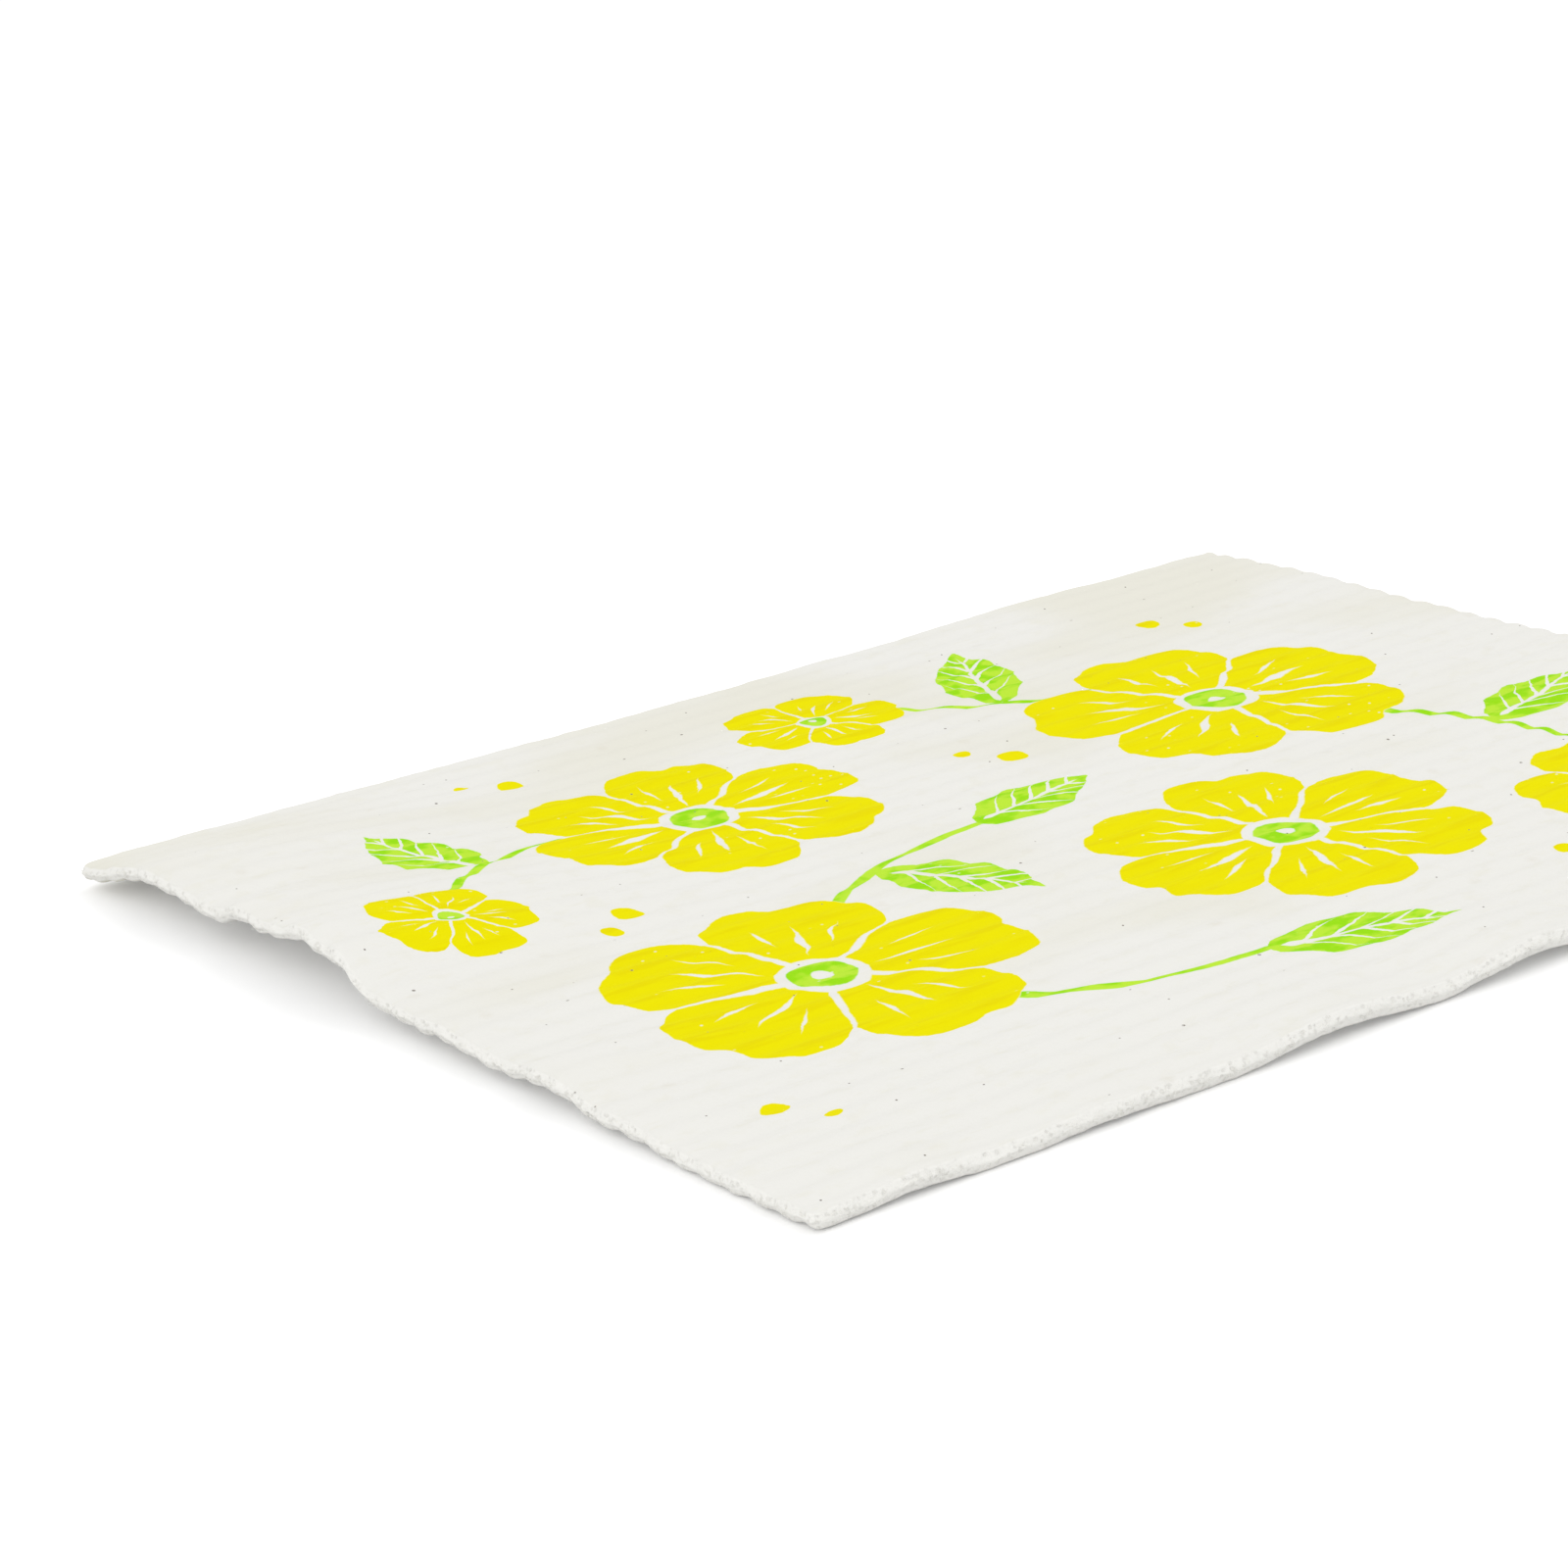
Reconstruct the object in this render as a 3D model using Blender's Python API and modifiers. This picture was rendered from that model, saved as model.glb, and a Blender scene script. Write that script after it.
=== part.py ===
# Sponge cloth: one thin sheet of cellulose sponge, ribbed on both faces, lying as it dried.
# Metres, +Z up. The origin is on the floor, under the middle of the cloth.

import math

import bmesh
import bpy

# Sheet
cloth_width = 0.170  # along X, across the ribs
cloth_length = 0.200  # along Y, along the ribs
cloth_thickness = 0.0028  # from crest to crest, over both faces
groove_thickness = 0.0020  # through two facing grooves
rib_pitch = 0.0050  # crest to crest, rounded so that an even count fills the width
rib_land = 0.0020  # flat crest of a rib, the part that rests on the floor
edge_round = 0.0006  # soft rounding of the cut edge
edge_round_limit = 0.35  # most of the cut face's height that the rounding may take at each face
edge_round_steps = 2
sharp_edge_angle = 50  # degrees, steeper than a rib's side and flatter than the cut edge
row_count = 30  # steps along a rib

# A dry cloth stands off the floor along its free edges. Each rise is a smooth bell:
# its place along the edge, half its span there, its reach into the cloth, and its height.
front_rises = (
    (-0.062, 0.025, 0.070, 0.0045),
    (-0.040, 0.007, 0.030, 0.0013),
    (-0.028, 0.034, 0.070, 0.0055),
    (-0.022, 0.007, 0.030, 0.0017),
    (-0.014, 0.007, 0.034, 0.0019),
    (0.010, 0.030, 0.060, 0.0018),
    (0.033, 0.012, 0.035, 0.0018),
    (0.048, 0.013, 0.022, 0.0008),
)
right_rises = (
    (-0.086, 0.010, 0.022, 0.0005),
    (-0.060, 0.012, 0.022, 0.0004),
    (-0.026, 0.018, 0.026, 0.0012),
    (0.005, 0.018, 0.022, 0.0016),
    (0.042, 0.022, 0.024, 0.0009),
    (0.074, 0.018, 0.024, 0.0013),
)
left_rises = (
    (-cloth_length / 2, 0.110, 0.040, 0.0009),
    (0.060, 0.030, 0.024, 0.0005),
)
back_rises = (
    (-0.062, 0.030, 0.026, 0.0006),
    (0.012, 0.024, 0.024, 0.0007),
    (0.066, 0.026, 0.026, 0.0011),
)

# Dry undyed cellulose
cloth_colour = (0.845, 0.850, 0.800, 1.0)
cloth_roughness = 0.95


def bell(u):
    """A smooth bump: 1 at u = 0, falling to 0 at u = 1 and beyond."""
    return 0.5 + 0.5 * math.cos(math.pi * min(abs(u), 1.0))


def rise(x, y):
    """How far the cloth stands off the floor at a point."""
    half_width = cloth_width / 2
    half_length = cloth_length / 2
    edges = (
        (front_rises, x, half_length + y),
        (back_rises, x, half_length - y),
        (left_rises, y, half_width + x),
        (right_rises, y, half_width - x),
    )
    total = 0.0
    for rises, along, inwards in edges:
        for place, half_span, reach, height in rises:
            total += height * bell((along - place) / half_span) * bell(inwards / reach)
    return total


def rib_columns():
    """The lines that run along the ribs: each one's x, and whether it is on a crest or in a groove."""
    pitch_count = 2 * round(cloth_width / 2 / rib_pitch)
    pitch = cloth_width / pitch_count
    columns = [(-cloth_width / 2, True)]
    for i in range(pitch_count):
        crest = -cloth_width / 2 + i * pitch
        columns.append((crest + rib_land / 2, True))
        columns.append((crest + pitch / 2, False))
        columns.append((crest + pitch - rib_land / 2, True))
    columns.append((cloth_width / 2, True))
    return columns


def ribbed_sheet():
    """The cloth's middle surface as a grid, with each column's share of the thickness in a vertex group."""
    columns = rib_columns()
    rows = [cloth_length * (j / row_count - 0.5) for j in range(row_count + 1)]
    bm = bmesh.new()
    bmesh.ops.create_grid(
        bm,
        x_segments=len(columns) - 1,
        y_segments=row_count,
        size=0.5,
    )
    rib_share = bm.verts.layers.deform.verify()
    for vert in bm.verts:
        x, on_crest = columns[round((vert.co.x + 0.5) * (len(columns) - 1))]
        y = rows[round((vert.co.y + 0.5) * row_count)]
        vert.co = (x, y, cloth_thickness / 2 + rise(x, y))
        vert[rib_share][0] = 1.0 if on_crest else 0.0
    mesh = bpy.data.meshes.new("sponge_cloth")
    bm.to_mesh(mesh)
    bm.free()
    return mesh


def cellulose_material():
    material = bpy.data.materials.new("cellulose_sponge")
    material.use_nodes = True
    shader = material.node_tree.nodes["Principled BSDF"]
    shader.inputs["Base Color"].default_value = cloth_colour
    shader.inputs["Roughness"].default_value = cloth_roughness
    shader.inputs["Metallic"].default_value = 0.0
    return material


def make_cloth(collection):
    cloth = bpy.data.objects.new("sponge_cloth", ribbed_sheet())
    collection.objects.link(cloth)
    cloth.data.materials.append(cellulose_material())
    cloth.vertex_groups.new(name="rib_crests")

    # Both faces are raised on the crests and sunk in the grooves
    thickness = cloth.modifiers.new("Ribbed thickness", "SOLIDIFY")
    thickness.thickness = cloth_thickness
    thickness.offset = 0.0
    thickness.vertex_group = "rib_crests"
    thickness.thickness_vertex_group = groove_thickness / cloth_thickness

    # The blade leaves a soft edge, never a sharp one
    softness = cloth.modifiers.new("Soft cut edge", "BEVEL")
    softness.limit_method = "ANGLE"
    softness.angle_limit = math.radians(sharp_edge_angle)
    softness.width = min(edge_round, edge_round_limit * groove_thickness)
    softness.segments = edge_round_steps
    softness.use_clamp_overlap = False

    cloth.data.shade_smooth()
    return cloth


for old in list(bpy.data.objects):
    bpy.data.objects.remove(old, do_unlink=True)

cloth_collection = bpy.data.collections.new("Sponge cloth")
bpy.context.scene.collection.children.link(cloth_collection)
make_cloth(cloth_collection)
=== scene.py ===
# Sponge cloth, in metres: its ribbed and waved surface, its soft cut edges and its print.

import math
import random

import bmesh
import bpy
from mathutils import Euler, Matrix, Vector, noise


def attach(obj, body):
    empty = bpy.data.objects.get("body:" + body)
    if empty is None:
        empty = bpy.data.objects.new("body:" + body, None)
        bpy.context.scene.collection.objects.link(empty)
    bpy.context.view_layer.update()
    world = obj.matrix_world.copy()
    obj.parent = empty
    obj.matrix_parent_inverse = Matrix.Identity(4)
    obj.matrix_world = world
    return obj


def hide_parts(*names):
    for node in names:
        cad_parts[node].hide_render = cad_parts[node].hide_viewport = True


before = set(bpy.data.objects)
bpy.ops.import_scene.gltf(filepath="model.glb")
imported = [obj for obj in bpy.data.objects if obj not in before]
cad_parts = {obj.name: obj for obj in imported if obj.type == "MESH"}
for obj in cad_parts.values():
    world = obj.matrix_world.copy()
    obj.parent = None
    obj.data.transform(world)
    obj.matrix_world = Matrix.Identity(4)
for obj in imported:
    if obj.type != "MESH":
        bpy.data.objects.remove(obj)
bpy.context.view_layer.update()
print("packed cloth loaded")


# The photograph's viewing angle. It cuts the far right corner off
cameraView = {
    "place": (0.4329, -0.3304, 0.1793),
    "yaw": -56.32,  # degrees from +Y, clockwise seen from above
    "downTilt": 17.30,
    "roll": -5.51,
    "lens": 99.9,
    "sensorWidth": 36.0,
    "clip": (0.01, 20.0),
}


def makeCamera(view):
    yaw = math.radians(view["yaw"])
    downTilt = math.radians(view["downTilt"])
    roll = math.radians(view["roll"])
    ahead = math.cos(downTilt)
    forward = Vector((math.sin(yaw) * ahead, math.cos(yaw) * ahead, -math.sin(downTilt)))
    level = Vector((math.cos(yaw), -math.sin(yaw), 0.0))
    upright = level.cross(forward)
    right = level * math.cos(roll) + upright * math.sin(roll)
    up = upright * math.cos(roll) - level * math.sin(roll)

    data = bpy.data.cameras.new("photoCamera")
    data.lens = view["lens"]
    data.sensor_width = view["sensorWidth"]
    data.clip_start, data.clip_end = view["clip"]
    camera = bpy.data.objects.new("photoCamera", data)
    bpy.context.scene.collection.objects.link(camera)
    turned = Matrix((right, up, -forward)).transposed().to_4x4()
    camera.matrix_world = Matrix.Translation(view["place"]) @ turned
    bpy.context.scene.camera = camera


makeCamera(cameraView)
print("camera placed")


# Node tools: a value is a number, a tuple or another node's output

def feed(tree, socket, value):
    if isinstance(value, bpy.types.NodeSocket):
        tree.links.new(value, socket)
    else:
        socket.default_value = value


def calc(tree, operation, *values, clamp=False):
    node = tree.nodes.new("ShaderNodeMath")
    node.operation = operation
    node.use_clamp = clamp
    for socket, value in zip(node.inputs, values):
        feed(tree, socket, value)
    return node.outputs[0]


def plus(tree, first, second):
    return calc(tree, "ADD", first, second)


def minus(tree, first, second):
    return calc(tree, "SUBTRACT", first, second)


def times(tree, first, second):
    return calc(tree, "MULTIPLY", first, second)


def over(tree, first, second):
    return calc(tree, "DIVIDE", first, second)


def apart(tree, first, second):
    return calc(tree, "ABSOLUTE", minus(tree, first, second))


def vectorCalc(tree, operation, *values):
    node = tree.nodes.new("ShaderNodeVectorMath")
    node.operation = operation
    for socket, value in zip(node.inputs, values):
        feed(tree, socket, value)
    return node.outputs["Value"] if operation == "LENGTH" else node.outputs["Vector"]


def scaled(tree, vector, factor):
    node = tree.nodes.new("ShaderNodeVectorMath")
    node.operation = "SCALE"
    feed(tree, node.inputs[0], vector)
    feed(tree, node.inputs["Scale"], factor)
    return node.outputs["Vector"]


def splitFlat(tree, vector):
    node = tree.nodes.new("ShaderNodeSeparateXYZ")
    tree.links.new(vector, node.inputs[0])
    return node.outputs["X"], node.outputs["Y"]


def redOf(tree, colour):
    node = tree.nodes.new("ShaderNodeSeparateColor")
    tree.links.new(colour, node.inputs[0])
    return node.outputs[0]


def blend(tree, kind, factor, first, second):
    node = tree.nodes.new("ShaderNodeMix")
    node.data_type = kind
    firstSlot, secondSlot, result = {"FLOAT": (2, 3, 0), "VECTOR": (4, 5, 1), "RGBA": (6, 7, 2)}[kind]
    feed(tree, node.inputs[0], factor)
    feed(tree, node.inputs[firstSlot], first)
    feed(tree, node.inputs[secondSlot], second)
    return node.outputs[result]


def ramp(tree, value, low, high, bottom=0.0, top=1.0):
    node = tree.nodes.new("ShaderNodeMapRange")
    node.interpolation_type = "SMOOTHSTEP"
    for socket, setting in zip(node.inputs, (value, low, high, bottom, top)):
        feed(tree, socket, setting)
    return node.outputs[0]


def noiseNode(tree, position, size, detail=2.0, roughness=0.5):
    stretched = vectorCalc(tree, "DIVIDE", position, size)
    node = tree.nodes.new("ShaderNodeTexNoise")
    feed(tree, node.inputs["Vector"], stretched)
    node.inputs["Scale"].default_value = 1.0
    node.inputs["Detail"].default_value = detail
    node.inputs["Roughness"].default_value = roughness
    return node


def noiseRamp(tree, position, size, low, high, bottom=0.0, top=1.0):
    return ramp(tree, noiseNode(tree, position, size).outputs["Fac"], low, high, bottom, top)


def cellNode(tree, position, size, flat=False):
    # Scattered points: a flat pattern holds all its points in the cloth's own plane
    stretched = vectorCalc(tree, "DIVIDE", position, size)
    node = tree.nodes.new("ShaderNodeTexVoronoi")
    node.voronoi_dimensions = "2D" if flat else "3D"
    feed(tree, node.inputs["Vector"], stretched)
    node.inputs["Scale"].default_value = 1.0
    return node


def ribWave(tree, position, pitch):
    # 1 on the crest of each rib, -1 in each groove
    x, _ = splitFlat(tree, position)
    return calc(tree, "COSINE", times(tree, x, 2 * math.pi / pitch))


def newGroup(name, inputs, outputs):
    tree = bpy.data.node_groups.new(name, "ShaderNodeTree")
    kinds = {"vector": "NodeSocketVector", "value": "NodeSocketFloat", "colour": "NodeSocketColor"}
    for socketName, kind in inputs:
        tree.interface.new_socket(name=socketName, in_out="INPUT", socket_type=kinds[kind])
    for socketName, kind in outputs:
        tree.interface.new_socket(name=socketName, in_out="OUTPUT", socket_type=kinds[kind])
    return tree, tree.nodes.new("NodeGroupInput").outputs, tree.nodes.new("NodeGroupOutput").inputs


def placeGroup(tree, group, **settings):
    node = tree.nodes.new("ShaderNodeGroup")
    node.node_tree = group
    for socketName, value in settings.items():
        feed(tree, node.inputs[socketName], value)
    return node.outputs


def tint(red, green, blue):
    # An 8-bit screen colour as the linear one that a shader takes, by the standard's own formula
    def linear(level):
        share = level / 255
        return share / 12.92 if share <= 0.04045 else ((share + 0.055) / 1.055) ** 2.4
    return (linear(red), linear(green), linear(blue), 1.0)


def millimetres(tree):
    coordinates = tree.nodes.new("ShaderNodeTexCoord")
    return scaled(tree, coordinates.outputs["Object"], 1000.0)


# The print, in millimetres: blossoms, leaves, stems and dots, each kind drawn once in a unit square
printLayout = {
    "blossoms": [  # middle, turn in degrees, radius, petals
        ((27, -57), 12, 27, 5),
        ((-36, -32), 40, 25, 6),
        ((30, 14), -20, 26, 6),
        ((-22, 47), 25, 27, 5),
        ((-60, 4), 70, 13, 5),
        ((51, 61), -35, 20, 5),
        ((-17, -82), 5, 11, 5),
    ],
    "stems": [  # start, end, bow, and its leaves: share along it, tip, half width
        ((12, -46), (-4, -9), 4.0, ((0.47, (22, -19), 5.8), (0.99, (-9, 13), 5.8))),
        ((46, -51), (61, -16), -4.0, ((0.98, (69, 7), 5.8),)),
        ((-38, 42), (-59, 12), 3.0, ((0.44, (-71, 38), 5.8),)),
        ((-2, 56), (38, 64), 4.0, ((0.48, (9, 88), 5.8),)),
        ((-22, -79), (-42, -50), 3.5, ((0.52, (-58, -71), 5.6),)),
    ],
    "dots": [  # middle, radius
        ((58, -86), 1.7),
        ((64, -82), 1.2),
        ((-8, -62), 1.9),
        ((-4, -67), 1.3),
        ((-68, -42), 1.8),
        ((-72, -48), 1.2),
        ((-24, 12), 1.9),
        ((-30, 8), 1.3),
        ((-60, 66), 1.8),
        ((-54, 70), 1.3),
        ((62, 32), 1.6),
    ],
    "yellow": tint(240, 231, 0),
    "deepYellow": tint(236, 223, 0),
    "green": tint(192, 236, 62),
    "deepGreen": tint(156, 226, 24),
    "edgeWander": ((9.0, 0.50), (2.6, 0.30), (0.6, 0.12)),  # outlines stray: a wave's size and reach
    "wanderStretch": 1.3,  # its waves are longer along the ribs
    "stemWander": 0.4,  # share of it that a stem has
    "ribPitch": 5.0,
    "ribShift": 0.3,  # the ink bleeds further along a crest than in a groove
    "shiftPatches": ((7.0, 9.0, 7.0), 0.35, 0.65, 0.25, 1.0),  # more in some places than in others
    "softness": 0.10,
    "motifSize": {"blossom": 22, "dot": 2, "leaf": 7, "stem": 4},  # brings that into unit squares
}


def lyingBetween(start, end, halfWidth):
    # A motif that reaches from one point to another, as its middle, turn and half sizes
    across, up = end[0] - start[0], end[1] - start[1]
    middle = (start[0] + across / 2, start[1] + up / 2)
    return middle, math.degrees(math.atan2(up, across)), (math.hypot(across, up) / 2, halfWidth), 0


def pointOnStem(start, end, bow, share):
    across, up = end[0] - start[0], end[1] - start[1]
    aside = bow * (1.0 - (2.0 * share - 1.0) ** 2) / math.hypot(across, up)
    return start[0] + across * share - up * aside, start[1] + up * share + across * aside


def buildNearerMotif():
    # Keeps whichever motif lies nearer, in that motif's own unit square
    tree, given, result = newGroup(
        "nearer motif",
        [
            ("Position", "vector"), ("Middle", "vector"), ("Turn", "vector"),
            ("Half size", "vector"), ("Petals", "value"),
            ("Kept spot", "vector"), ("Kept distance", "value"), ("Kept petals", "value"),
        ],
        [("Spot", "vector"), ("Distance", "value"), ("Petals", "value")],
    )
    mapping = tree.nodes.new("ShaderNodeMapping")
    mapping.vector_type = "TEXTURE"
    tree.links.new(given["Position"], mapping.inputs["Vector"])
    tree.links.new(given["Middle"], mapping.inputs["Location"])
    tree.links.new(given["Turn"], mapping.inputs["Rotation"])
    tree.links.new(given["Half size"], mapping.inputs["Scale"])
    spot = mapping.outputs["Vector"]
    distance = vectorCalc(tree, "LENGTH", spot)
    nearer = calc(tree, "LESS_THAN", distance, given["Kept distance"])
    feed(tree, result["Spot"], blend(tree, "VECTOR", nearer, given["Kept spot"], spot))
    feed(tree, result["Distance"], calc(tree, "MINIMUM", distance, given["Kept distance"]))
    feed(tree, result["Petals"], blend(tree, "FLOAT", nearer, given["Kept petals"], given["Petals"]))
    return tree


def nearestMotif(tree, group, position, motifs):
    # Starts from a spot that is farther off than any motif
    far = 9.0
    spot, distance, petals = (far, far, 0.0), far, 0.0
    for middle, turn, halfSize, petalCount in motifs:
        kept = placeGroup(
            tree, group,
            **{
                "Position": position,
                "Middle": (*middle, 0.0),
                "Turn": (0.0, 0.0, math.radians(turn)),
                "Half size": (*halfSize, 1.0),
                "Petals": petalCount,
                "Kept spot": spot,
                "Kept distance": distance,
                "Kept petals": petals,
            },
        )
        spot, distance, petals = kept["Spot"], kept["Distance"], kept["Petals"]
    return spot, distance, petals


blossomCut = {
    "notch": (0.30, 3.6),  # how deep the outline falls between two petals, and how late
    "tipDip": (0.13, 0.045),  # its half width and depth
    "gap": (0.024, 1.1),  # between petals: its growth inwards from this radius
    "middleStroke": (0.47, 0.19, 0.022),  # its middle, half length and half width
    "sideStroke": (0.58, 0.12, 0.012),
    "sideOffset": 0.23,
    "petalStart": 0.215,
    "heart": (0.045, 0.160),
}


def buildBlossom():
    # Petals round a heart, parted by cut lines. Its unit is the radius
    tree, given, result = newGroup(
        "blossom",
        [("Spot", "vector"), ("Petals", "value")],
        [("Petal ink", "value"), ("Heart ink", "value"), ("Cover", "value")],
    )
    cut = blossomCut
    x, y = splitFlat(tree, given["Spot"])
    radius = vectorCalc(tree, "LENGTH", given["Spot"])
    angle = calc(tree, "ARCTAN2", y, x)
    petalNumber = times(tree, angle, over(tree, given["Petals"], 2 * math.pi))
    fromAxis = apart(tree, petalNumber, calc(tree, "ROUND", petalNumber))  # at most a half
    arcLength = over(tree, times(tree, radius, 2 * math.pi), given["Petals"])

    notchDepth, notchPower = cut["notch"]
    notch = calc(tree, "POWER", times(tree, fromAxis, 2.0), notchPower)
    outline = minus(tree, 1.0, times(tree, notch, notchDepth))
    dipWidth, dipDepth = cut["tipDip"]
    dip = ramp(tree, fromAxis, 0.0, dipWidth, dipDepth, 0.0)
    inside = minus(tree, minus(tree, outline, dip), radius)
    feed(tree, result["Cover"], inside)

    betweenPetals = times(tree, minus(tree, 0.5, fromAxis), arcLength)
    gapGrowth, gapStart = cut["gap"]
    parted = minus(tree, betweenPetals, times(tree, minus(tree, gapStart, radius), gapGrowth))

    def stroke(offset, size):
        middle, halfLength, halfWidth = size
        along = over(tree, apart(tree, radius, middle), halfLength)
        width = times(tree, minus(tree, 1.0, along), halfWidth)
        return minus(tree, times(tree, apart(tree, fromAxis, offset), arcLength), width)

    strokes = stroke(0.0, cut["middleStroke"]), stroke(cut["sideOffset"], cut["sideStroke"])
    ink = inside
    for limit in (parted, *strokes, minus(tree, radius, cut["petalStart"])):
        ink = calc(tree, "MINIMUM", ink, limit)
    feed(tree, result["Petal ink"], ink)

    hole, rim = cut["heart"]
    heart = calc(tree, "MINIMUM", minus(tree, rim, radius), minus(tree, radius, hole))
    feed(tree, result["Heart ink"], heart)
    return tree


leafCut = {
    "outlinePower": 0.97,  # lower is rounder
    "lean": 0.24,  # fuller towards the base
    "teeth": (13.0, 0.05),  # how close, in radians, and how deep
    "bend": 0.10,
    "neck": (-0.92, -0.72),
    "tip": (0.70, 0.88),  # where the middle vein runs out
    "midVein": (0.050, 1.25),  # a vein's growth inwards from this place
    "sideVein": (0.044, 0.95),
    "shut": -0.5,  # share of its width where a vein has ended: less than none, to close it sharply
    "sideVeins": 3.1,
    "sideReach": (0.62, 0.76),  # no side vein begins nearer to either end
    "veinSlope": 0.62,
}


def buildLeaf():
    # A pointed leaf along X with cut veins. Its unit is the half length, and across, the half width
    tree, given, result = newGroup("leaf", [("Spot", "vector")], [("Leaf ink", "value")])
    cut = leafCut
    along, across = splitFlat(tree, given["Spot"])
    bow = minus(tree, 1.0, times(tree, along, along))
    body = calc(tree, "POWER", calc(tree, "MAXIMUM", bow, 0.0), cut["outlinePower"])
    lean = minus(tree, 1.0, times(tree, along, cut["lean"]))
    toothRate, toothDepth = cut["teeth"]
    teeth = times(tree, calc(tree, "SINE", times(tree, along, toothRate)), toothDepth)
    halfWidth = plus(tree, times(tree, body, lean), teeth)
    fromVein = apart(tree, across, times(tree, bow, cut["bend"]))
    inside = minus(tree, halfWidth, fromVein)
    insideEnds = minus(tree, 1.0, calc(tree, "ABSOLUTE", along))

    # The neck and the tip stay whole, and the middle vein thins towards the tip
    shut = cut["shut"]
    growth, start = cut["midVein"]
    veinWidth = times(tree, minus(tree, start, along), growth)
    veinWidth = times(tree, veinWidth, ramp(tree, along, *cut["neck"], shut, 1.0))
    veinWidth = times(tree, veinWidth, ramp(tree, along, *cut["tip"], 1.0, shut))
    beside = minus(tree, fromVein, veinWidth)

    # Each side vein slants forwards from its foot on the middle vein
    count = cut["sideVeins"]
    growth, start = cut["sideVein"]
    foot = minus(tree, along, times(tree, fromVein, cut["veinSlope"]))
    veinNumber = times(tree, foot, count)
    fromSideVein = apart(tree, veinNumber, calc(tree, "ROUND", veinNumber))
    sideWidth = times(tree, minus(tree, start, fromVein), growth * count)
    reached = ramp(tree, calc(tree, "ABSOLUTE", foot), *cut["sideReach"], 1.0, shut)
    betweenVeins = minus(tree, fromSideVein, times(tree, sideWidth, reached))

    ink = inside
    for limit in (insideEnds, beside, betweenVeins):
        ink = calc(tree, "MINIMUM", ink, limit)
    feed(tree, result["Leaf ink"], ink)
    return tree


stemCut = {
    "halfWidth": 0.17,  # at its middle
    "thinning": 0.05,
}


def buildStem():
    # A bent stem through (-1, 0), (0, 1) and (1, 0) that thins towards its end
    tree, given, result = newGroup("stem", [("Spot", "vector")], [("Stem ink", "value")])
    along, across = splitFlat(tree, given["Spot"])
    bow = minus(tree, 1.0, times(tree, along, along))
    width = minus(tree, stemCut["halfWidth"], times(tree, along, stemCut["thinning"]))
    inside = minus(tree, width, apart(tree, across, bow))
    insideEnds = minus(tree, 1.0, calc(tree, "ABSOLUTE", along))
    feed(tree, result["Stem ink"], calc(tree, "MINIMUM", inside, insideEnds))
    return tree


def buildPrint(layout):
    tree, given, result = newGroup(
        "block print", [("Position", "vector")], [("Yellow", "value"), ("Green", "value")]
    )
    nearer, blossom, leaf, stem = buildNearerMotif(), buildBlossom(), buildLeaf(), buildStem()

    # The fibres and the ribs carry the ink a little off every line
    strayed = given["Position"]
    for size, reach in layout["edgeWander"]:
        waves = (size, size * layout["wanderStretch"], size)
        wander = noiseNode(tree, given["Position"], waves, detail=1.0)
        shift = vectorCalc(tree, "SUBTRACT", wander.outputs["Color"], (0.5, 0.5, 0.5))
        strayed = vectorCalc(tree, "ADD", strayed, scaled(tree, shift, reach * 2))
    strayed = vectorCalc(tree, "MULTIPLY", strayed, (1.0, 1.0, 0.0))
    bleed = times(tree, ribWave(tree, given["Position"], layout["ribPitch"]), layout["ribShift"])
    bleed = times(tree, bleed, noiseRamp(tree, given["Position"], *layout["shiftPatches"]))
    along = tree.nodes.new("ShaderNodeCombineXYZ")
    tree.links.new(bleed, along.inputs["Y"])
    position = vectorCalc(tree, "ADD", strayed, along.outputs[0])

    def mask(value, motif):
        softness = layout["softness"] / layout["motifSize"][motif]
        return ramp(tree, value, -softness, softness)

    blossoms = [
        (middle, turn, (radius, radius), petals)
        for middle, turn, radius, petals in layout["blossoms"]
    ]
    spot, _, petals = nearestMotif(tree, nearer, position, blossoms)
    parts = placeGroup(tree, blossom, Spot=spot, Petals=petals)
    petalMask = mask(parts["Petal ink"], "blossom")
    heartMask = mask(parts["Heart ink"], "blossom")

    dots = [(middle, 0, (radius, radius), 0) for middle, radius in layout["dots"]]
    _, distance, _ = nearestMotif(tree, nearer, position, dots)
    dotMask = mask(minus(tree, 1.0, distance), "dot")

    leaves = []
    for start, end, bow, sprouts in layout["stems"]:
        for share, tip, halfWidth in sprouts:
            leaves.append(lyingBetween(pointOnStem(start, end, bow, share), tip, halfWidth))
    spot, _, _ = nearestMotif(tree, nearer, position, leaves)
    leafMask = mask(placeGroup(tree, leaf, Spot=spot)["Leaf ink"], "leaf")
    stems = [lyingBetween(start, end, bow) for start, end, bow, _ in layout["stems"]]
    steadier = blend(tree, "VECTOR", layout["stemWander"], given["Position"], strayed)
    spot, _, _ = nearestMotif(tree, nearer, steadier, stems)
    stemMask = mask(placeGroup(tree, stem, Spot=spot)["Stem ink"], "stem")

    # A stem ends at the blossom that it carries
    clear = minus(tree, 1.0, mask(parts["Cover"], "blossom"))
    leafOrStem = times(tree, calc(tree, "MAXIMUM", leafMask, stemMask), clear)
    feed(tree, result["Yellow"], calc(tree, "MAXIMUM", petalMask, dotMask))
    feed(tree, result["Green"], calc(tree, "MAXIMUM", heartMask, leafOrStem))
    return tree


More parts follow.
